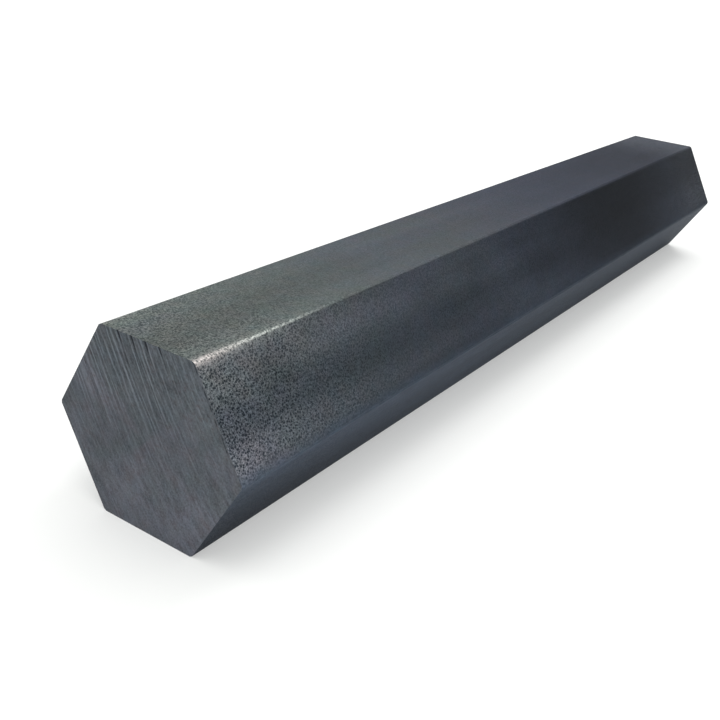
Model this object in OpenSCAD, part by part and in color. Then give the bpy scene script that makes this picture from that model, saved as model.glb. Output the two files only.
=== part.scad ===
/* [Section] */
// Width across two opposite flats
across_flats = 36; // [12:1:100]
// Radius of the six rolled edges that run along the bar
edge_r = 0.6; // [0.3:0.1:3]

/* [Length] */
// Length between the two sawn ends
bar_len = 250; // [50:10:3000]

/* [Hidden] */

// Smoothness of a full turn of an edge's rounding
$fn = 96;
// Flats round the section
flats = 6;
// Angle from one edge to the next, seen along the bar
edge_step = 360 / flats;
// Distance from the bar's axis to the centre of each edge's rounding
edge_centre_r = (across_flats / 2 - edge_r) / cos(edge_step / 2);
// Colour of dark rolled steel
steel_grey = [0.36, 0.38, 0.41];

// Point at a radius and an angle from the origin
function polar(r, angle) = r * [cos(angle), sin(angle)];

// Centre of the rounding at edge i, with edge 0 to the side and a flat at the top and bottom
function edge_centre(i) = polar(edge_centre_r, i * edge_step);

// Hexagon with rounded corners: each flat runs between the points where two roundings touch it
module section() {
    polygon([
        for (i = [0 : flats - 1], side = [-1, 1])
            edge_centre(i) + polar(edge_r, (i + side / 2) * edge_step)
    ]);
    for (i = [0 : flats - 1])
        translate(edge_centre(i))
            circle(r = edge_r);
}

// Solid bar sawn square at both ends, lying on a flat along X with its middle over the origin
module hex_bar() {
    color(steel_grey)
        translate([-bar_len / 2, 0, across_flats / 2])
            rotate([90, 0, 90])
                linear_extrude(bar_len)
                    section();
}

hex_bar();
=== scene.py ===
import math

import bpy
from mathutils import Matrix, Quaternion, Vector


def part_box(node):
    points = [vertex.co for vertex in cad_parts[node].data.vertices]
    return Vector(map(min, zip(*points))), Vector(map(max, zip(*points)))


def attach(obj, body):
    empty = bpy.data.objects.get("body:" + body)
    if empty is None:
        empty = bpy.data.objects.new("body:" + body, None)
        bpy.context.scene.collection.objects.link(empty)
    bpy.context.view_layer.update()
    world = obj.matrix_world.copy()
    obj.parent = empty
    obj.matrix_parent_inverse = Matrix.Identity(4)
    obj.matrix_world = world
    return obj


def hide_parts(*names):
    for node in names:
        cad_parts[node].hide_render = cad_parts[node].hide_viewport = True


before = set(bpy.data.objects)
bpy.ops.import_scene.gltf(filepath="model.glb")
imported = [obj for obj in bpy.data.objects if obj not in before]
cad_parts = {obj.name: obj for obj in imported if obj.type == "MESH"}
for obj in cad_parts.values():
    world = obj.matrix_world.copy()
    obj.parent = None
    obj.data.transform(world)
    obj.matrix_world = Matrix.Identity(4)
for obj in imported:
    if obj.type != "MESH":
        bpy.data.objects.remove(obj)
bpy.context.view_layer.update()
lowCorner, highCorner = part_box("hex_bar")
barLength = highCorner.x - lowCorner.x
acrossFlats = highCorner.z - lowCorner.z
sharpCorner = acrossFlats / math.sqrt(3)  # from the axis to a corner with no rounding
edgeRadius = (sharpCorner - highCorner.y) / (2 / math.sqrt(3) - 1)
axisHeight = lowCorner.z + acrossFlats / 2
nearEnd = lowCorner.x
millimetre = 0.001
topFlat = acrossFlats / 2 / millimetre  # over the axis, in millimetres
print(
    f"frame: {barLength:.3f} m long, {acrossFlats:.4f} m across flats,",
    f"edges {edgeRadius / millimetre:.2f} mm",
)


# Helpers that add nodes to a tree and link them
def join(tree, socket, value):
    if isinstance(value, bpy.types.NodeSocket):
        tree.links.new(value, socket)
    else:
        socket.default_value = value


def place(tree, kind, sockets=None, **settings):
    made = tree.nodes.new(kind)
    for name, value in settings.items():
        setattr(made, name, value)
    for name, value in (sockets or {}).items():
        join(tree, made.inputs[name], value)
    return made


def calc(tree, operation, *values, clamp=False):
    made = place(tree, "ShaderNodeMath", dict(enumerate(values)), operation=operation, use_clamp=clamp)
    return made.outputs[0]


def product(tree, first, *others):
    for other in others:
        first = calc(tree, "MULTIPLY", first, other)
    return first


def between(tree, share, first, second):
    return calc(tree, "MULTIPLY_ADD", calc(tree, "SUBTRACT", second, first), share, first)


def vector(tree, operation, *values):
    made = place(tree, "ShaderNodeVectorMath", dict(enumerate(values)), operation=operation)
    scalar = operation in ("LENGTH", "DISTANCE", "DOT_PRODUCT")
    return made.outputs["Value" if scalar else "Vector"]


def scaled(tree, value, factor):
    made = place(tree, "ShaderNodeVectorMath", {0: value, "Scale": factor}, operation="SCALE")
    return made.outputs[0]


def point(tree, x=0.0, y=0.0, z=0.0):
    return place(tree, "ShaderNodeCombineXYZ", {"X": x, "Y": y, "Z": z}).outputs[0]


def parts(tree, value):
    return place(tree, "ShaderNodeSeparateXYZ", {0: value}).outputs


def ramp(tree, value, low, high, start=0.0, end=1.0):
    made = place(tree, "ShaderNodeMapRange", interpolation_type="SMOOTHSTEP")
    given = {"Value": value, "From Min": low, "From Max": high, "To Min": start, "To Max": end}
    for name, number in given.items():
        join(tree, made.inputs[name], number)
    return made.outputs["Result"]


# One outside a zone, and the value in it
def within(tree, zone, value):
    return ramp(tree, zone, 0.0, 1.0, 1.0, value)


def noise(tree, where, scale, detail=2.0, rough=0.5, output=0):
    given = {"Vector": where, "Scale": scale, "Detail": detail, "Roughness": rough}
    return place(tree, "ShaderNodeTexNoise", given).outputs[output]


def sway(tree, where, scale, detail=2.0, rough=0.5):
    return calc(tree, "SUBTRACT", noise(tree, where, scale, detail, rough), 0.5)


def colourSway(tree, where, scale, detail=2.0):
    return vector(tree, "SUBTRACT", noise(tree, where, scale, detail, output="Color"), (0.5, 0.5, 0.5))


def stretched(tree, mm, scales, detail=2.0, rough=0.5):
    return noise(tree, vector(tree, "MULTIPLY", mm, scales), 1.0, detail, rough)


def blend(tree, amount, first, second, mode="MIX"):
    made = place(tree, "ShaderNodeMix", data_type="RGBA", blend_type=mode)
    join(tree, made.inputs[0], amount)
    join(tree, made.inputs[6], first)  # the two colours
    join(tree, made.inputs[7], second)
    return made.outputs[2]


# Bar coordinates in millimetres: along the bar from the near end, then across and up from the axis
def barSpace(tree, where):
    mm = scaled(tree, where, 1 / millimetre)
    start = (nearEnd / millimetre, 0.0, axisHeight / millimetre)
    return vector(tree, "SUBTRACT", mm, start)


def barMaterial(name):
    made = bpy.data.materials.new(name)
    made.use_nodes = True
    tree = made.node_tree
    mm = barSpace(tree, place(tree, "ShaderNodeTexCoord").outputs["Object"])
    return made, tree, mm


# Slight drift of hue from spot to spot, redder or greener and, less so, bluer or yellower
def hueDrift(tree, tone, mm, scale, amount):
    blueShare = 0.6
    spots = colourSway(tree, mm, scale)
    drift = vector(tree, "MULTIPLY_ADD", spots, (amount, 0.0, amount * blueShare), (1.0, 1.0, 1.0))
    return vector(tree, "MULTIPLY", tone, drift)


def dress(tree, look, tone, rough, height):
    shader = tree.nodes["Principled BSDF"]
    bump = place(tree, "ShaderNodeBump", {"Height": height, "Distance": look["bumpDepth"]})
    join(tree, shader.inputs["Base Color"], tone)
    join(tree, shader.inputs["Roughness"], rough)
    join(tree, shader.inputs["Normal"], bump.outputs[0])
    shader.inputs["Metallic"].default_value = look["metallic"]
    shader.inputs["Specular IOR Level"].default_value = look["specular"]
    shader.inputs["Specular Tint"].default_value = look["specularTint"]


# The blade swept in wide arcs about a point far out beyond the upper right of the near end.
# Places are in millimetres. Four numbers in a row are two places and the value at each, here and below.
sawCut = {
    "bladeY": -171.0,  # centre of the arcs from the axis
    "bladeZ": 103.0,
    "pitch": 2.75,  # between two deep lines
    "phase": 0.50,
    "wander": 0.08,  # how far a line strays, as a share of the pitch
    "wanderScale": 0.2,
    "depth": 0.03,
    "narrow": 12.0,  # power that narrows the lines in the mesh
    "fadeDown": (4.0, 16.0),  # heights over the axis between which the deep lines die out
    "fadeRight": (-7.0, -1.0, 0.15, 1.0),  # and the same across
    "fadeLeft": (4.5, 9.0, 1.0, 0.3),
    "notch": (15.8, 18.0, 1.0, 4.0),  # deeper at the upper edge, where the blade went in
}


def bladeTurns(tree, mm):
    at = parts(tree, mm)
    centre = (0.0, sawCut["bladeY"], sawCut["bladeZ"])
    radius = vector(tree, "DISTANCE", point(tree, y=at["Y"], z=at["Z"]), centre)
    turns = calc(tree, "ADD", calc(tree, "DIVIDE", radius, sawCut["pitch"]), sawCut["phase"])
    stray = sway(tree, mm, sawCut["wanderScale"], detail=1.0)
    return calc(tree, "MULTIPLY_ADD", stray, sawCut["wander"], turns)


def deepLines(tree, mm, power):
    at = parts(tree, mm)
    wave = calc(tree, "COSINE", calc(tree, "MULTIPLY", bladeTurns(tree, mm), math.pi))
    groove = calc(tree, "POWER", calc(tree, "ABSOLUTE", wave), power)
    notch = ramp(tree, at["Z"], *sawCut["notch"])
    down = ramp(tree, at["Z"], *sawCut["fadeDown"])
    right = ramp(tree, at["Y"], *sawCut["fadeRight"])
    left = ramp(tree, at["Y"], *sawCut["fadeLeft"])
    return product(tree, groove, notch, down, right, left)


# Rolled and pickled skin: dense dark pits in a paler network, long bands, painted shade along the bar and
# on the lower half, a painted highlight on the upper edges
skinFinish = {
    "network": (0.192, 0.200, 0.232),  # between the pits
    "pit": (0.022, 0.028, 0.039, 1),
    "under": (0.042, 0.056, 0.081),  # painted shade: darker on the lower half of the section
    "highlightNear": (0.50, 0.46, 0.45, 1),  # painted highlight on the edge at the corner, and further along
    "highlightFurther": (0.50, 0.52, 0.50, 1),
    "hueDrift": (0.3, 0.28),  # scale and strength
    "metallic": 0.6,
    "specular": 0.2,
    "specularTint": (0.5, 0.52, 0.55, 1),
    "roughness": 0.46,
    "pitRoughness": 0.18,  # added in the pits
    "bumpDepth": 0.00005,
    "grainHeight": 0.25,
    # zones: the top flat from just below it, the lower half by height, the back by y, the far end by x
    "topZone": (-0.7, -0.1),
    "underZone": (-1.2, 2.2, 1.0, 0.0),
    "backZone": (9.5, 12.0),
    "farEndZone": (205.0, 248.0),
    # pits
    "pitsPerMm": 1.95,
    "finePitsPerMm": 3.8,
    "pitRim": (0.27, 0.54, 1.0, 0.0),  # outwards from a pit's middle
    "finePitRim": (0.25, 0.68, 0.75, 0.0),
    "bend": 0.22,  # how far the pits stray from round
    "bendScale": 2.0,
    "grainScale": 5.5,
    "ragged": 0.3,
    "averagePit": 0.45,  # even tone where the pits don't show
    "patches": (0.3, 0.7, 0.75, 1.0),  # how well they show, in patches of noise
    "patchScale": 0.09,
    "pitsTop": (0.0, 45.0, 0.74, 0.6),  # on the top flat, along the bar
    "pitsUnder": 0.5,
    "pitsAlong": (0.0, 58.0, 1.0, 0.30),
    "pitsFarEnd": (190.0, 245.0, 0.0, 0.5),
    "pitsBack": 0.9,
    "pitsMiddleEdge": (0.0, 3.0, 0.5, 1.0),
    "gleam": (0.3, 0.7, -0.30, 0.42),  # bright and dull spots of the network
    "gleamScale": 2.6,
    "gleamAlong": (0.0, 60.0, 1.0, 0.55),
    # painted shade along the bar: top and sides darken, then get lighter again towards the far end
    "topFade": (-20.0, 240.0, 1.0, 0.22),
    "topReturn": (212.0, 250.0, 1.0, 2.3),
    "sideFade": (-50.0, 95.0, 1.18, 0.38),
    "sideFadeFar": (92.0, 175.0, 1.0, 0.27),
    "sideReturn": (180.0, 242.0, 1.0, 3.3),
    "backFade": (-50.0, 280.0, 1.05, 0.62),  # the back only darkens a little
    # painted shade high on the sides far along, and low on them nearer
    "upperHeights": (3.0, 13.0),
    "upperAlong": (70.0, 150.0, 0.0, 0.42),
    "lowerHeights": (4.0, 11.0, 1.0, 0.0),
    "lowerFrom": (-12.0, 22.0, 0.0, 0.34),
    "lowerTo": (45.0, 105.0, 1.0, 0.0),
    # dark streak along the top flat, and its paler back edge
    "topStreakY": -1.0,
    "topStreakAcross": (1.0, 6.5, 1.0, 0.0),
    "topStreakAlong": (20.0, 80.0, 0.19, 0.06),
    "topBackEdge": (2.5, 9.5, 1.0, 1.10),
    # dark band along the sides
    "bandHeight": 9.4,
    "bandSlope": -0.015,
    "bandWidth": (0.5, 6.0),
    "bandTone": (30.0, 110.0, 0.58, 0.96),
    "bandBeside": 1.06,
    "bandHue": (0.7, 1.0, 0.8, 0.0),  # share of its tint, by its tone
    # streaks, mottle, smoky patches and a smudge
    "streaks": (0.010, 0.16, 0.16),
    "streakTone": (0.3, 0.7, -0.15, 0.12),
    "streakTop": 0.5,
    "mottle": (0.2, 0.8, 0.85, 1.15),
    "smoke": (0.05, 0.11, 0.11),
    "smokeTone": (0.3, 0.7, -1.0, 1.0),
    "smokeAlong": (20.0, 70.0, 0.0, 0.14),
    "smokeTop": 0.3,
    "smudgeX": 16.0,
    "smudgeZ": 12.6,
    "smudgeLong": 0.7,  # below one draws it out along the bar
    "smudge": (1.0, 5.0, 0.78, 1.0),
    # tints and where they lie
    "sideTint": (0.845, 0.91, 1.0, 1),  # painted reflection hue: bluer away from the near end
    "sideTintAlong": (5.0, 80.0),
    "sideTintBack": 0.4,
    "sideTintFarEnd": 0.4,
    "oliveTint": (0.985, 1.0, 0.93, 1),  # in long zones of noise
    "oliveZones": (0.022, 0.11, 0.11),
    "oliveHeights": (5.0, 16.0, -0.22, 0.16),
    "oliveNear": (10.0, 90.0, 1.0, 0.0),
    "oliveFrom": (0.40, 0.62),
    "oliveAlong": (90.0, 140.0, 1.0, 0.1),
    "farTint": (0.86, 0.90, 1.0, 1),  # painted reflection hue, bluer still, further along
    "farTintAlong": (60.0, 120.0),
    "farTintTop": -30.0,  # starts later on the top flat
    "farTintBack": 0.3,
    "farTintFarEnd": 0.3,
    "tealTint": (0.935, 1.0, 0.975, 1),  # low on the sides, past the near end
    "tealFrom": (2.0, 22.0),
    "tealTo": (35.0, 65.0, 1.0, 0.0),
    "tealHeights": (4.0, 14.0, 1.0, 0.2),
    "bandTint": (0.92, 0.99, 1.0, 1),
    "topFarTint": (0.98, 0.90, 0.91, 1),  # painted reflection hue: less green along the top flat
    "topFarAlong": (0.0, 110.0),
    "topFarFarEnd": 0.25,
    "topTint": (0.905, 0.935, 0.825, 1),  # painted reflection hue: greener on the top flat, near the near end
    "topTintAlong": (40.0, 190.0, 1.0, 0.0),
    # painted shade on the lower half: dark below, paler up to the middle edge near the near end
    "underHeights": (-11.0, 0.5),
    "underLow": (0.0, 90.0, 0.50, 0.72),
    "underHigh": (20.0, 130.0, 1.2, 0.74),
    "underNear": (0.0, 60.0, 0.87, 1.0),
    "underFar": (90.0, 170.0, 1.0, 0.84),
    "underStreaks": (0.25, 1.6, 1.6),
    "underStreakTone": (0.3, 0.7, 0.8, 1.2),
    "underPale": 1.6,  # tone between the pits, and how much they take off it
    "underPitted": -1.2,
    # painted highlight on the upper edges
    "edgeDrop": 0.22,  # middle of the painted highlight below the top flat
    "highlightCore": 0.1,
    "highlightWidth": (0.0, 17.0, 1.3, 0.36),
    "highlightFade": (4.0, 38.0, 1.0, 0.0),
    "cornerWidth": (0.2, 2.1, 1.0, 0.0),  # wider, fainter painted highlight at the corner
    "cornerAlong": (0.0, 34.0, 0.36, 0.0),
    "highlightAcross": (-2.0, 2.0, 1.0, 0.25),  # less on the back edge
    "highlightPits": -0.75,  # pits stay dark in it
    "highlightColour": (3.0, 16.0),  # from the one colour to the other
    "edgeShadeWidth": (0.15, 0.6, 1.0, 0.0),  # painted shade that dulls the edge further along
    "edgeShadeAlong": (22.0, 40.0, 0.0, 0.25),
}


def skinZones(tree, mm):
    x, y, z = parts(tree, mm)
    topLow, topHigh = skinFinish["topZone"]
    return {
        "x": x,
        "y": y,
        "z": z,
        "top": ramp(tree, z, topFlat + topLow, topFlat + topHigh),
        "under": ramp(tree, z, *skinFinish["underZone"]),
        "back": ramp(tree, y, *skinFinish["backZone"]),
        "farEnd": ramp(tree, x, *skinFinish["farEndZone"]),
    }


# How well the pits show at a place
def pitShare(tree, mm, at):
    look = skinFinish
    patch = ramp(tree, noise(tree, mm, look["patchScale"]), *look["patches"])
    onTop = within(tree, at["top"], ramp(tree, at["x"], *look["pitsTop"]))
    under = within(tree, at["under"], look["pitsUnder"])
    near = ramp(tree, at["x"], *look["pitsAlong"])
    along = calc(tree, "ADD", near, ramp(tree, at["x"], *look["pitsFarEnd"]))
    along = calc(tree, "MAXIMUM", along, product(tree, at["back"], look["pitsBack"]))
    edge = ramp(tree, calc(tree, "ABSOLUTE", at["z"]), *look["pitsMiddleEdge"])
    return product(tree, patch, onTop, under, along, edge)


# Pits of two sizes, the same evened out where they don't show, and the grain that frays them
def skinPits(tree, mm, at):
    look = skinFinish
    bend = colourSway(tree, mm, look["bendScale"], detail=1.0)
    bent = vector(tree, "ADD", mm, scaled(tree, bend, look["bend"]))
    grain = noise(tree, mm, look["grainScale"], detail=3.0, rough=0.6)
    ragged = product(tree, calc(tree, "SUBTRACT", grain, 0.5), look["ragged"])
    sizes = []
    for count, rim in (("pitsPerMm", "pitRim"), ("finePitsPerMm", "finePitRim")):
        cells = place(tree, "ShaderNodeTexVoronoi", {"Vector": bent, "Scale": look[count]})
        sizes.append(ramp(tree, calc(tree, "ADD", cells.outputs["Distance"], ragged), *look[rim]))
    pits = calc(tree, "MAXIMUM", *sizes)
    share = pitShare(tree, mm, at)
    even = product(tree, calc(tree, "SUBTRACT", 1.0, share), look["averagePit"])
    return pits, calc(tree, "MULTIPLY_ADD", pits, share, even), grain


# Painted shade along the sides, lighter again towards the far end; the back darkens less
def sideLevel(tree, at):
    look = skinFinish
    x, z = at["x"], at["z"]
    upper = product(tree, ramp(tree, z, *look["upperHeights"]), ramp(tree, x, *look["upperAlong"]))
    lower = product(tree, ramp(tree, z, *look["lowerHeights"]), ramp(tree, x, *look["lowerFrom"]))
    lower = product(tree, lower, ramp(tree, x, *look["lowerTo"]))
    level = product(tree, ramp(tree, x, *look["sideFade"]), ramp(tree, x, *look["sideFadeFar"]))
    level = product(tree, level, calc(tree, "SUBTRACT", 1.0, calc(tree, "ADD", upper, lower)))
    level = product(tree, level, ramp(tree, x, *look["sideReturn"]))
    return between(tree, at["back"], level, ramp(tree, x, *look["backFade"]))


# Painted shade along the top flat, with its dark streak and paler back edge
def topLevel(tree, at):
    look = skinFinish
    x, y = at["x"], at["y"]
    fromStreak = calc(tree, "ABSOLUTE", calc(tree, "SUBTRACT", y, look["topStreakY"]))
    streak = ramp(tree, fromStreak, *look["topStreakAcross"])
    streak = product(tree, streak, ramp(tree, x, *look["topStreakAlong"]))
    level = product(tree, ramp(tree, x, *look["topFade"]), calc(tree, "SUBTRACT", 1.0, streak))
    return product(tree, level, ramp(tree, y, *look["topBackEdge"]), ramp(tree, x, *look["topReturn"]))


# Tone of the scale with the painted shade along the bar, and the band and the streaks that other steps use
# too
def scaleLevel(tree, mm, at, grain):
    look = skinFinish
    x, z = at["x"], at["z"]
    far = between(tree, at["top"], sideLevel(tree, at), topLevel(tree, at))
    bandAt = calc(tree, "MULTIPLY_ADD", x, look["bandSlope"], look["bandHeight"])
    fromBand = calc(tree, "ABSOLUTE", calc(tree, "SUBTRACT", z, bandAt))
    band = ramp(tree, fromBand, *look["bandWidth"], ramp(tree, x, *look["bandTone"]), look["bandBeside"])
    streak = ramp(tree, stretched(tree, mm, look["streaks"]), *look["streakTone"])
    streak = calc(tree, "MULTIPLY_ADD", streak, within(tree, at["top"], look["streakTop"]), 1.0)
    smoke = ramp(tree, stretched(tree, mm, look["smoke"], detail=3.0), *look["smokeTone"])
    smokeShare = ramp(tree, x, *look["smokeAlong"])
    smokeShare = product(tree, smokeShare, within(tree, at["top"], look["smokeTop"]))
    smoke = calc(tree, "MULTIPLY_ADD", smoke, smokeShare, 1.0)
    smudgeAt = (look["smudgeX"] * look["smudgeLong"], 0.0, look["smudgeZ"])
    here = point(tree, x=product(tree, x, look["smudgeLong"]), z=z)
    smudge = ramp(tree, vector(tree, "DISTANCE", here, smudgeAt), *look["smudge"])
    level = product(tree, far, band, streak, ramp(tree, grain, *look["mottle"]), smoke, smudge)
    return level, band, streak


# Tints; the ones on the top flat and along the sides are painted reflection hue
def tinted(tree, mm, at, tone, band):
    look = skinFinish
    x, z = at["x"], at["z"]
    side = ramp(tree, x, *look["sideTintAlong"])
    side = product(tree, side, within(tree, at["back"], look["sideTintBack"]))
    side = product(tree, side, within(tree, at["farEnd"], look["sideTintFarEnd"]))
    lift = ramp(tree, z, *look["oliveHeights"])
    zones = stretched(tree, mm, look["oliveZones"], detail=1.0)
    zones = calc(tree, "MULTIPLY_ADD", lift, ramp(tree, x, *look["oliveNear"]), zones)
    olive = product(tree, ramp(tree, zones, *look["oliveFrom"]), ramp(tree, x, *look["oliveAlong"]))
    farFrom = calc(tree, "MULTIPLY_ADD", at["top"], look["farTintTop"], x)
    far = ramp(tree, farFrom, *look["farTintAlong"])
    far = product(tree, far, within(tree, at["back"], look["farTintBack"]))
    far = product(tree, far, within(tree, at["farEnd"], look["farTintFarEnd"]))
    teal = product(tree, ramp(tree, x, *look["tealFrom"]), ramp(tree, x, *look["tealTo"]))
    teal = product(tree, teal, ramp(tree, z, *look["tealHeights"]))
    topFar = product(tree, at["top"], ramp(tree, x, *look["topFarAlong"]))
    topFar = product(tree, topFar, within(tree, at["farEnd"], look["topFarFarEnd"]))
    where = {
        "sideTint": side,
        "oliveTint": olive,
        "farTint": far,
        "tealTint": teal,
        "bandTint": ramp(tree, band, *look["bandHue"]),
        "topFarTint": topFar,
        "topTint": product(tree, at["top"], ramp(tree, x, *look["topTintAlong"])),
    }
    for name, share in where.items():
        tone = blend(tree, share, tone, look[name], "MULTIPLY")
    return tone


# Painted shade on the lower half of the section, darker towards the bottom
def underTone(tree, mm, at, tonePits, streak):
    look = skinFinish
    x = at["x"]
    low = ramp(tree, x, *look["underLow"])
    high = ramp(tree, x, *look["underHigh"])
    level = product(tree, ramp(tree, at["z"], *look["underHeights"], low, high), streak)
    fineStreak = stretched(tree, mm, look["underStreaks"], detail=3.0, rough=0.6)
    level = product(tree, level, ramp(tree, fineStreak, *look["underStreakTone"]))
    level = product(tree, level, ramp(tree, x, *look["underFar"]), ramp(tree, x, *look["underNear"]))
    pitted = calc(tree, "MULTIPLY_ADD", tonePits, look["underPitted"], look["underPale"])
    return scaled(tree, look["under"], product(tree, level, pitted))


# Painted highlight on the upper edges near the sawn end, the one on the right most, and painted shade that
# dulls the edges further along
def rubbedEdges(tree, at, tone, pits):
    look = skinFinish
    x = at["x"]
    edgeY = calc(tree, "SUBTRACT", calc(tree, "ABSOLUTE", at["y"]), sharpCorner / 2 / millimetre)
    edgeZ = calc(tree, "SUBTRACT", at["z"], topFlat - look["edgeDrop"])
    gap = vector(tree, "LENGTH", point(tree, y=edgeY, z=edgeZ))
    rub = ramp(tree, gap, look["highlightCore"], ramp(tree, x, *look["highlightWidth"]), 1.0, 0.0)
    rub = product(tree, rub, ramp(tree, x, *look["highlightFade"]))
    corner = product(tree, ramp(tree, gap, *look["cornerWidth"]), ramp(tree, x, *look["cornerAlong"]))
    rub = product(tree, calc(tree, "MAXIMUM", rub, corner), ramp(tree, at["y"], *look["highlightAcross"]))
    rub = product(tree, rub, calc(tree, "MULTIPLY_ADD", pits, look["highlightPits"], 1.0))
    worn = product(tree, ramp(tree, gap, *look["edgeShadeWidth"]), ramp(tree, x, *look["edgeShadeAlong"]))
    tone = scaled(tree, tone, calc(tree, "SUBTRACT", 1.0, worn))
    rubTone = blend(tree, ramp(tree, x, *look["highlightColour"]), look["highlightNear"], look["highlightFurther"])
    return blend(tree, rub, tone, rubTone)


def skinMaterial():
    look = skinFinish
    made, tree, mm = barMaterial("rolledSkin")
    at = skinZones(tree, mm)
    pits, tonePits, grain = skinPits(tree, mm, at)
    level, band, streak = scaleLevel(tree, mm, at, grain)
    gleam = ramp(tree, noise(tree, mm, look["gleamScale"], rough=0.6), *look["gleam"])
    gleam = calc(tree, "MULTIPLY_ADD", gleam, ramp(tree, at["x"], *look["gleamAlong"]), 1.0)
    tone = blend(tree, tonePits, scaled(tree, look["network"], gleam), look["pit"])
    tone = tinted(tree, mm, at, scaled(tree, tone, level), band)
    # painted shade on the lower half
    tone = blend(tree, at["under"], tone, underTone(tree, mm, at, tonePits, streak))
    tone = hueDrift(tree, tone, mm, *look["hueDrift"])
    tone = rubbedEdges(tree, at, tone, pits)
    rough = calc(tree, "MULTIPLY_ADD", tonePits, look["pitRoughness"], look["roughness"])
    sunk = calc(tree, "MULTIPLY", tonePits, -1.0)
    dress(tree, look, tone, rough, calc(tree, "MULTIPLY_ADD", grain, look["grainHeight"], sunk))
    return made


# Sawn face: fine blade lines over grain, deep lines that fade downwards with painted shade in them, stain,
# a painted shadow of a burr on the right
sawnFinish = {
    "cool": (0.089, 0.101, 0.115, 1),
    "warm": (0.094, 0.100, 0.119, 1),
    # painted shade in the deep lines, and the painted shadow of the burr
    "groove": (0.022, 0.025, 0.030, 1),
    "stain": (0.066, 0.058, 0.062, 1),
    "hueDrift": (0.35, 0.22),  # scale and strength
    "metallic": 0.6,
    "specular": 0.2,
    "specularTint": (0.6, 0.62, 0.65, 1),
    "roughness": (-0.3, 0.3, 0.42, 0.56),  # by the grain
    "bumpDepth": 0.00003,
    "bumpShares": (-1.5, 0.5, 0.5),  # of the deep, light and hair lines
    "floor": 0.3,  # darkest tone of lines and grain
    # light lines between the deep ones
    "fineLines": 2.6,  # to each deep one
    "jitter": 2.8,  # uneven spacing
    "jitterScale": 1.6,
    "jitterUp": 0.02,  # how fast it changes with height
    "finePower": 7.0,
    "fineMean": 0.26,
    "fineTone": 0.85,
    "fineStrength": (0.3, 0.7, 0.25, 1.1),
    "strengthScale": 2.2,
    "strengthUp": 0.05,
    "fineHeights": (-8.0, 11.0, 0.12, 1.0),
    "fineAcross": (-10.0, 1.0, 0.4, 1.0),
    # hair lines, coarser low on the face
    "hairUp": 0.10,
    "hairScale": 5.5,
    "hairScaleLow": 3.0,
    "hairHeights": (0.0, 12.0),
    "hairTone": (-8.0, 8.0, 1.25, 1.3),
    # deep lines, wider at the upper edge, with painted shade in them
    "deepPower": (9.0, 17.5, 240.0, 60.0),
    "deepTone": 0.55,
    # grain and clouds
    "grainScale": 2.6,
    "grainTone": (-8.0, 8.0, 1.6, 1.3),
    "cloudScale": 0.11,
    "cloudTone": 0.7,
    "hueUp": -0.010,  # warmer downwards
    "hueFrom": (0.36, 0.60),
    "slopeTone": (-24.0, 8.0, 1.17, 0.96),  # lighter towards the lower right
    "middleTone": (2.0, 9.0, 0.90, 1.0),  # darker at half height
    # stain in spots along the lines, and in clouds low on the face
    "spotUp": 0.28,
    "spotScale": 3.4,
    "spots": (0.47, 0.72, 0.0, 0.75),
    "spotPatchScale": 0.16,
    "spotPatches": (0.35, 0.65, 0.25, 1.0),
    "spotHeights": (-8.0, 8.0, 0.65, 1.0),
    "stainScale": 0.34,
    "stains": (0.52, 0.70, 0.0, 0.32),
    "stainHeights": (-4.0, 9.0, 1.0, 0.2),
    # painted shadow of a burr along the upper right side
    "burrShadowAt": 17.72,  # from the axis
    "burrShadowWander": 0.5,
    "burrShadowWanderScale": 0.5,
    "burrShadowWidth": (0.08, 0.26, 0.9, 0.0),
    "burrShadowHeights": (1.5, 5.0),
    "burrShadowGapScale": 0.8,
    "burrShadowGaps": (0.36, 0.58, 0.15, 1.0),
}


# Noise drawn out along the blade's lines
def lineNoise(tree, turns, z, up, scale, detail=2.0, rough=0.5):
    return noise(tree, point(tree, x=turns, y=product(tree, z, up)), scale, detail, rough)


def lightLines(tree, turns, y, z):
    look = sawnFinish
    jitter = lineNoise(tree, turns, z, look["jitterUp"], look["jitterScale"], detail=1.0)
    jitter = product(tree, jitter, look["jitter"])
    fineTurns = calc(tree, "MULTIPLY_ADD", turns, look["fineLines"], jitter)
    wave = calc(tree, "ABSOLUTE", calc(tree, "COSINE", calc(tree, "MULTIPLY", fineTurns, math.pi)))
    wave = calc(tree, "SUBTRACT", calc(tree, "POWER", wave, look["finePower"]), look["fineMean"])
    strength = lineNoise(tree, turns, z, look["strengthUp"], look["strengthScale"], detail=1.0)
    strength = ramp(tree, strength, *look["fineStrength"])
    fade = product(tree, ramp(tree, z, *look["fineHeights"]), ramp(tree, y, *look["fineAcross"]))
    return product(tree, wave, strength, fade)


def hairLines(tree, turns, z):
    look = sawnFinish
    high = lineNoise(tree, turns, z, look["hairUp"], look["hairScale"], rough=0.6)
    low = lineNoise(tree, turns, z, look["hairUp"], look["hairScaleLow"], detail=3.0, rough=0.7)
    return calc(tree, "SUBTRACT", between(tree, ramp(tree, z, *look["hairHeights"]), low, high), 0.5)


def stainShare(tree, mm, turns, z):
    look = sawnFinish
    spots = lineNoise(tree, turns, z, look["spotUp"], look["spotScale"], detail=3.0, rough=0.65)
    spots = ramp(tree, spots, *look["spots"])
    spots = product(tree, spots, ramp(tree, noise(tree, mm, look["spotPatchScale"]), *look["spotPatches"]))
    spots = product(tree, spots, ramp(tree, z, *look["spotHeights"]))
    clouds = ramp(tree, noise(tree, mm, look["stainScale"], detail=3.0, rough=0.65), *look["stains"])
    clouds = product(tree, clouds, ramp(tree, z, *look["stainHeights"]))
    return calc(tree, "MAXIMUM", spots, clouds)


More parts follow.
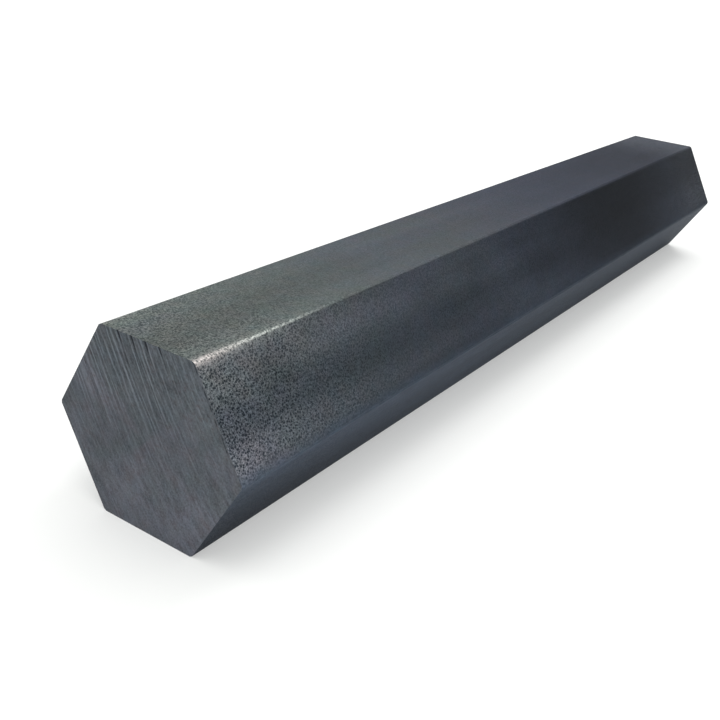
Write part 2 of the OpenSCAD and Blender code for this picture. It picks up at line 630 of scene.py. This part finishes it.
# Painted shadow of a burr along the upper right edge, broken by gaps
def burrShare(tree, mm, z):
    look = sawnFinish
    outward = (0.0, -math.cos(math.pi / 6), math.sin(math.pi / 6))  # through the upper right flat
    toFlat = vector(tree, "DOT_PRODUCT", mm, outward)
    wander = sway(tree, mm, look["burrShadowWanderScale"])
    line = calc(tree, "MULTIPLY_ADD", wander, look["burrShadowWander"], look["burrShadowAt"])
    burr = ramp(tree, calc(tree, "ABSOLUTE", calc(tree, "SUBTRACT", toFlat, line)), *look["burrShadowWidth"])
    gaps = ramp(tree, noise(tree, mm, look["burrShadowGapScale"]), *look["burrShadowGaps"])
    return product(tree, burr, ramp(tree, z, *look["burrShadowHeights"]), gaps)


def sawnMaterial():
    look = sawnFinish
    made, tree, mm = barMaterial("sawnSteel")
    at = parts(tree, mm)
    y, z = at["Y"], at["Z"]
    turns = bladeTurns(tree, mm)
    deep = deepLines(tree, mm, ramp(tree, z, *look["deepPower"]))
    light = lightLines(tree, turns, y, z)
    hair = hairLines(tree, turns, z)
    grain = sway(tree, mm, look["grainScale"], detail=3.0, rough=0.65)
    cloud = noise(tree, mm, look["cloudScale"], detail=4.0, rough=0.6)
    warmth = ramp(tree, calc(tree, "MULTIPLY_ADD", z, look["hueUp"], cloud), *look["hueFrom"])
    tone = blend(tree, warmth, look["cool"], look["warm"])
    tone = blend(tree, stainShare(tree, mm, turns, z), tone, look["stain"])
    level = calc(tree, "MULTIPLY_ADD", light, look["fineTone"], 1.0)
    level = calc(tree, "MULTIPLY_ADD", hair, ramp(tree, z, *look["hairTone"]), level)
    level = calc(tree, "MULTIPLY_ADD", grain, ramp(tree, z, *look["grainTone"]), level)
    level = calc(tree, "MULTIPLY_ADD", calc(tree, "SUBTRACT", cloud, 0.5), look["cloudTone"], level)
    level = product(tree, level, ramp(tree, calc(tree, "ADD", y, z), *look["slopeTone"]))
    level = product(tree, level, ramp(tree, calc(tree, "ABSOLUTE", z), *look["middleTone"]))
    tone = scaled(tree, tone, calc(tree, "MAXIMUM", level, look["floor"]))
    # painted shade in the deep lines, then the painted shadow of the burr
    tone = blend(tree, calc(tree, "MULTIPLY", deep, look["deepTone"], clamp=True), tone, look["groove"])
    tone = blend(tree, burrShare(tree, mm, z), tone, look["groove"])
    tone = hueDrift(tree, tone, mm, *look["hueDrift"])
    deepHeight, lightHeight, hairHeight = look["bumpShares"]
    height = calc(tree, "MULTIPLY_ADD", deep, deepHeight, calc(tree, "MULTIPLY", light, lightHeight))
    height = calc(tree, "MULTIPLY_ADD", hair, hairHeight, height)
    dress(tree, look, tone, ramp(tree, grain, *look["roughness"]), height)
    return made


rolledSkin = skinMaterial()
sawnSteel = sawnMaterial()
print("materials: rolled skin and sawn steel")


# A gridded box takes the shape of the rounded hexagon, so the bar's sides and ends are one closed skin
hexBar = {
    "rows": 100,  # cells along the bar
    "cells": 140,  # cells along each side of the box's end
    "crowdEnds": 0.3,  # how far the rows crowd towards the ends
    "crowdEdges": 0.6,  # how far the cells crowd towards the six edges
    "hollow": 0.0022,  # how far the section shrinks in the hollows of the rolled skin, as a share
    "hollowScale": (0.03, 0.16, 0.16),
    "seed": 3,
    "seedStep": 37.0,  # how far a seed moves the hollows along, in millimetres
    "crispAngle": 40.0,  # edges folded by more degrees stay sharp
    "endFrom": 0.4999,  # share of the length from the middle, past which is an end
    "endFacing": 0.7,  # faces that look along the bar by more than this are sawn
}
sides = 6


# Rows of the box crowd towards the ends by x = X * (1 + c) - c * X^3
def crowdedLength(tree, boxX, given):
    cubed = calc(tree, "POWER", boxX, 3.0)
    spread = calc(tree, "MULTIPLY", boxX, calc(tree, "ADD", given["Crowd Ends"], 1.0))
    spread = calc(tree, "SUBTRACT", spread, calc(tree, "MULTIPLY", cubed, given["Crowd Ends"]))
    return calc(tree, "MULTIPLY", spread, calc(tree, "MULTIPLY", given["Length"], 0.5))


# Share of the way round the section, with cells crowded towards the edges
def roundShare(tree, boxY, boxZ, ring, given):
    eighth = math.pi / 4
    ringSafe = calc(tree, "MAXIMUM", ring, 1e-6)
    turnY = calc(tree, "TANGENT", calc(tree, "MULTIPLY", calc(tree, "DIVIDE", boxY, ringSafe), eighth))
    turnZ = calc(tree, "TANGENT", calc(tree, "MULTIPLY", calc(tree, "DIVIDE", boxZ, ringSafe), eighth))
    share = calc(tree, "FRACT", calc(tree, "DIVIDE", calc(tree, "ARCTAN2", turnZ, turnY), math.tau))
    swing = calc(tree, "SINE", calc(tree, "MULTIPLY", share, sides * math.tau))
    swing = calc(tree, "MULTIPLY", swing, calc(tree, "DIVIDE", given["Crowd Edges"], sides * math.tau))
    return calc(tree, "FRACT", calc(tree, "SUBTRACT", share, swing))


def wrappedBox(tree, given):
    box = place(tree, "GeometryNodeMeshCube", {
        "Size": (2.0, 2.0, 2.0),
        "Vertices X": calc(tree, "ADD", given["Rows"], 1.0),
        "Vertices Y": calc(tree, "ADD", given["Cells"], 1.0),
        "Vertices Z": calc(tree, "ADD", given["Cells"], 1.0),
    })
    cornerRadius = calc(tree, "MULTIPLY", given["Across Flats"], 1 / math.sqrt(3))
    hexagon = place(tree, "GeometryNodeCurvePrimitiveCircle", {"Resolution": sides, "Radius": cornerRadius})
    section = place(tree, "GeometryNodeFilletCurve", {
        "Curve": hexagon.outputs[0],
        "Radius": given["Edge Radius"],
    })
    boxX, boxY, boxZ = parts(tree, place(tree, "GeometryNodeInputPosition").outputs[0])
    # each square ring of the box's end becomes a ring of the hexagon
    ring = calc(tree, "MAXIMUM", calc(tree, "ABSOLUTE", boxY), calc(tree, "ABSOLUTE", boxZ))
    outline = place(tree, "GeometryNodeSampleCurve", {
        "Curves": section.outputs[0],
        "Factor": roundShare(tree, boxY, boxZ, ring, given),
    }, mode="FACTOR")
    rim = parts(tree, outline.outputs["Position"])
    wrapped = point(
        tree,
        x=crowdedLength(tree, boxX, given),
        y=calc(tree, "MULTIPLY", rim["X"], ring),
        z=calc(tree, "MULTIPLY", rim["Y"], ring),
    )
    return place(tree, "GeometryNodeSetPosition", {"Geometry": box.outputs["Mesh"], "Position": wrapped})


# Long shallow hollows of the rolled skin
def hollowed(tree, bar, given):
    spot = place(tree, "GeometryNodeInputPosition").outputs[0]
    shift = point(tree, x=calc(tree, "MULTIPLY", given["Seed"], hexBar["seedStep"]))
    mm = vector(tree, "ADD", scaled(tree, spot, 1 / millimetre), shift)
    roll = stretched(tree, mm, hexBar["hollowScale"])
    factor = calc(tree, "MULTIPLY_ADD", calc(tree, "MULTIPLY", roll, given["Hollow"]), -1.0, 1.0)
    shrink = point(tree, x=1.0, y=factor, z=factor)
    return place(tree, "GeometryNodeSetPosition", {
        "Geometry": bar.outputs[0],
        "Position": vector(tree, "MULTIPLY", spot, shrink),
    })


def above(tree, value, limit):
    given = {0: value, 1: limit}
    return place(tree, "FunctionNodeCompare", given, data_type="FLOAT", operation="GREATER_THAN").outputs[0]


# Saw lines cut into both ends
def sawn(tree, bar, given):
    spot = place(tree, "GeometryNodeInputPosition").outputs[0]
    endX = parts(tree, spot)["X"]
    almostHalf = calc(tree, "MULTIPLY", given["Length"], hexBar["endFrom"])
    cut = deepLines(tree, barSpace(tree, spot), sawCut["narrow"])
    cut = calc(tree, "MULTIPLY", cut, given["Saw Depth"])
    inward = calc(tree, "MULTIPLY", calc(tree, "SIGN", endX), calc(tree, "MULTIPLY", cut, -1.0))
    return place(tree, "GeometryNodeSetPosition", {
        "Geometry": bar.outputs[0],
        "Selection": above(tree, calc(tree, "ABSOLUTE", endX), almostHalf),
        "Offset": point(tree, x=inward),
    })


# Smooth skin with crisp sawn edges, and the two finishes
def finished(tree, bar, given):
    bar = place(tree, "GeometryNodeSetShadeSmooth", {"Geometry": bar.outputs[0], "Shade Smooth": True})
    fold = place(tree, "GeometryNodeInputMeshEdgeAngle").outputs["Unsigned Angle"]
    bar = place(tree, "GeometryNodeSetShadeSmooth", {
        "Geometry": bar.outputs[0],
        "Selection": above(tree, fold, math.radians(hexBar["crispAngle"])),
        "Shade Smooth": False,
    }, domain="EDGE")
    bar = place(tree, "GeometryNodeRealizeInstances", {"Geometry": bar.outputs[0]})
    bar = place(tree, "GeometryNodeSetMaterial", {"Geometry": bar.outputs[0], "Material": given["Skin"]})
    facing = parts(tree, place(tree, "GeometryNodeInputNormal").outputs[0])["X"]
    return place(tree, "GeometryNodeSetMaterial", {
        "Geometry": bar.outputs[0],
        "Selection": above(tree, calc(tree, "ABSOLUTE", facing), hexBar["endFacing"]),
        "Material": given["Sawn"],
    })


def barTree():
    tree = bpy.data.node_groups.new("hexBarShape", "GeometryNodeTree")
    tree.interface.new_socket("Geometry", in_out="OUTPUT", socket_type="NodeSocketGeometry")
    kinds = {
        "Length": "Float", "Across Flats": "Float", "Edge Radius": "Float", "Crowd Ends": "Float",
        "Crowd Edges": "Float", "Hollow": "Float", "Saw Depth": "Float", "Rows": "Int", "Cells": "Int",
        "Seed": "Int", "Skin": "Material", "Sawn": "Material",
    }
    names = {}
    for name, kind in kinds.items():
        socket = tree.interface.new_socket(name, in_out="INPUT", socket_type="NodeSocket" + kind)
        names[name] = socket.identifier
    given = place(tree, "NodeGroupInput").outputs
    bar = hollowed(tree, wrappedBox(tree, given), given)
    bar = place(tree, "GeometryNodeTransform", {
        "Geometry": bar.outputs[0],
        "Translation": (0.0, 0.0, axisHeight),
    })
    bar = finished(tree, sawn(tree, bar, given), given)
    ending = place(tree, "NodeGroupOutput")
    join(tree, ending.inputs[0], bar.outputs[0])
    return tree, names


def barPiece():
    tree, names = barTree()
    piece = bpy.data.objects.new("hexBarSkin", bpy.data.meshes.new("hexBarSkin"))
    bpy.context.scene.collection.objects.link(piece)
    shaper = piece.modifiers.new("shape", "NODES")
    shaper.node_group = tree
    values = {
        "Length": barLength,
        "Across Flats": acrossFlats,
        "Edge Radius": edgeRadius,
        "Crowd Ends": hexBar["crowdEnds"],
        "Crowd Edges": hexBar["crowdEdges"],
        "Hollow": hexBar["hollow"],
        "Saw Depth": sawCut["depth"] * millimetre,
        "Rows": hexBar["rows"],
        "Cells": hexBar["cells"],
        "Seed": hexBar["seed"],
        "Skin": rolledSkin,
        "Sawn": sawnSteel,
    }
    for name, value in values.items():
        shaper[names[name]] = value
    seen = piece.evaluated_get(bpy.context.evaluated_depsgraph_get())
    plain = bpy.data.meshes.new_from_object(seen)
    plain.materials.pop(index=0)  # the box's own empty slot
    piece.modifiers.remove(shaper)
    piece.data = plain
    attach(piece, "root")
    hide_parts("hex_bar")
    return piece


bar = barPiece()
print("bar:", len(bar.data.polygons), "faces,", [finish.name for finish in bar.data.materials])


# Studio: a wide pale floor, a broad soft sun, a sky that is white at its edge and dim above it, two lamps
studio = {
    "floorSize": 40.0,
    "floorColour": (0.90, 0.90, 0.90, 1),
    "floorWhite": 0.3,  # share of plain white in what the camera and reflections see
    "skyEdge": (1.0, 1.0, 1.0, 1),
    "skyLow": (0.24, 0.27, 0.31, 1),
    "skyHigh": (0.62, 0.64, 0.60, 1),
    "skyEdgeRise": (0.10, 0.24, 1.0, 0.0),  # heights on a sky dome of radius one
    "skyRise": (0.15, 0.55),
    "sunFrom": (0.10, 0.16, 0.98),
    "sunStrength": 1.9,
    "sunWidth": 100.0,  # in degrees
}


def floorMaterial():
    made = bpy.data.materials.new("paleFloor")
    made.use_nodes = True
    tree = made.node_tree
    tree.nodes.clear()
    matt = place(tree, "ShaderNodeBsdfDiffuse", {"Color": studio["floorColour"]})
    glow = place(tree, "ShaderNodeEmission", {"Color": (1, 1, 1, 1), "Strength": 1.0})
    path = place(tree, "ShaderNodeLightPath").outputs
    seen = calc(tree, "MAXIMUM", path["Is Glossy Ray"], path["Is Transmission Ray"])
    seen = calc(tree, "MAXIMUM", path["Is Camera Ray"], seen)
    mixed = place(tree, "ShaderNodeMixShader", {
        0: calc(tree, "MULTIPLY", seen, studio["floorWhite"]),
        1: matt.outputs[0],
        2: glow.outputs[0],
    })
    place(tree, "ShaderNodeOutputMaterial", {"Surface": mixed.outputs[0]})
    return made


def floorPiece():
    half = studio["floorSize"] / 2
    mesh = bpy.data.meshes.new("floor")
    corners = [(-half, -half, 0), (half, -half, 0), (half, half, 0), (-half, half, 0)]
    mesh.from_pydata(corners, [], [(0, 1, 2, 3)])
    mesh.materials.append(floorMaterial())
    floor = bpy.data.objects.new("floor", mesh)
    bpy.context.scene.collection.objects.link(floor)


lamps = {
    "farKey": {"from": (0.37, -0.05, 0.47), "aim": (-0.10, 0.0, 0.02), "size": 0.16, "power": 0.8},
    "nearFill": {"from": (-0.34, -0.30, 0.26), "aim": (-0.12, 0.0, 0.02), "size": 0.30, "power": 0.5},
}


def hang(light, start, aim):
    lamp = bpy.data.objects.new(light.name, light)
    lamp.location = start
    lamp.rotation_euler = (Vector(aim) - Vector(start)).to_track_quat("-Z", "Y").to_euler()
    bpy.context.scene.collection.objects.link(lamp)


def lampPiece(name, given):
    light = bpy.data.lights.new(name, "AREA")
    light.size = given["size"]
    light.energy = given["power"]
    hang(light, given["from"], given["aim"])


def sunLight():
    light = bpy.data.lights.new("softSun", "SUN")
    light.energy = studio["sunStrength"]
    light.angle = math.radians(studio["sunWidth"])
    hang(light, studio["sunFrom"], (0, 0, 0))


def skyLight():
    world = bpy.data.worlds.new("studioSky")
    bpy.context.scene.world = world
    world.use_nodes = True
    tree = world.node_tree
    up = parts(tree, place(tree, "ShaderNodeTexCoord").outputs["Generated"])["Z"]
    tone = blend(tree, ramp(tree, up, *studio["skyRise"]), studio["skyLow"], studio["skyHigh"])
    tone = blend(tree, ramp(tree, up, *studio["skyEdgeRise"]), tone, studio["skyEdge"])
    join(tree, tree.nodes["Background"].inputs["Color"], tone)


floorPiece()
sunLight()
skyLight()
for lampName, lampGiven in lamps.items():
    lampPiece(lampName, lampGiven)
print("studio: floor, sun, sky and", len(lamps), "lamps")


# The camera stands in front of the near end, to its right, as the photograph was taken
cameraView = {
    "back": -0.0954,  # from the near end, along the bar
    "side": -0.1000,
    "up": 0.0803,  # over the bar's axis
    "yaw": 32.30,  # from the bar's axis, in degrees
    "pitch": -24.79,
    "roll": 5.48,
    "lens": 47.53,
    "sensor": 36.0,
    "clipStart": 0.005,
}


def cameraPiece():
    data = bpy.data.cameras.new("photoCamera")
    data.lens = cameraView["lens"]
    data.sensor_width = cameraView["sensor"]
    data.clip_start = cameraView["clipStart"]
    camera = bpy.data.objects.new("photoCamera", data)
    camera.location = (nearEnd + cameraView["back"], cameraView["side"], axisHeight + cameraView["up"])
    yaw, pitch = math.radians(cameraView["yaw"]), math.radians(cameraView["pitch"])
    forward = Vector((math.cos(pitch) * math.cos(yaw), math.cos(pitch) * math.sin(yaw), math.sin(pitch)))
    camera.rotation_mode = "QUATERNION"
    roll = Quaternion((0, 0, 1), math.radians(cameraView["roll"]))
    camera.rotation_quaternion = forward.to_track_quat("-Z", "Y") @ roll
    bpy.context.scene.collection.objects.link(camera)
    bpy.context.scene.camera = camera


cameraPiece()
bpy.context.scene.view_settings.view_transform = "Standard"
print("camera in place")
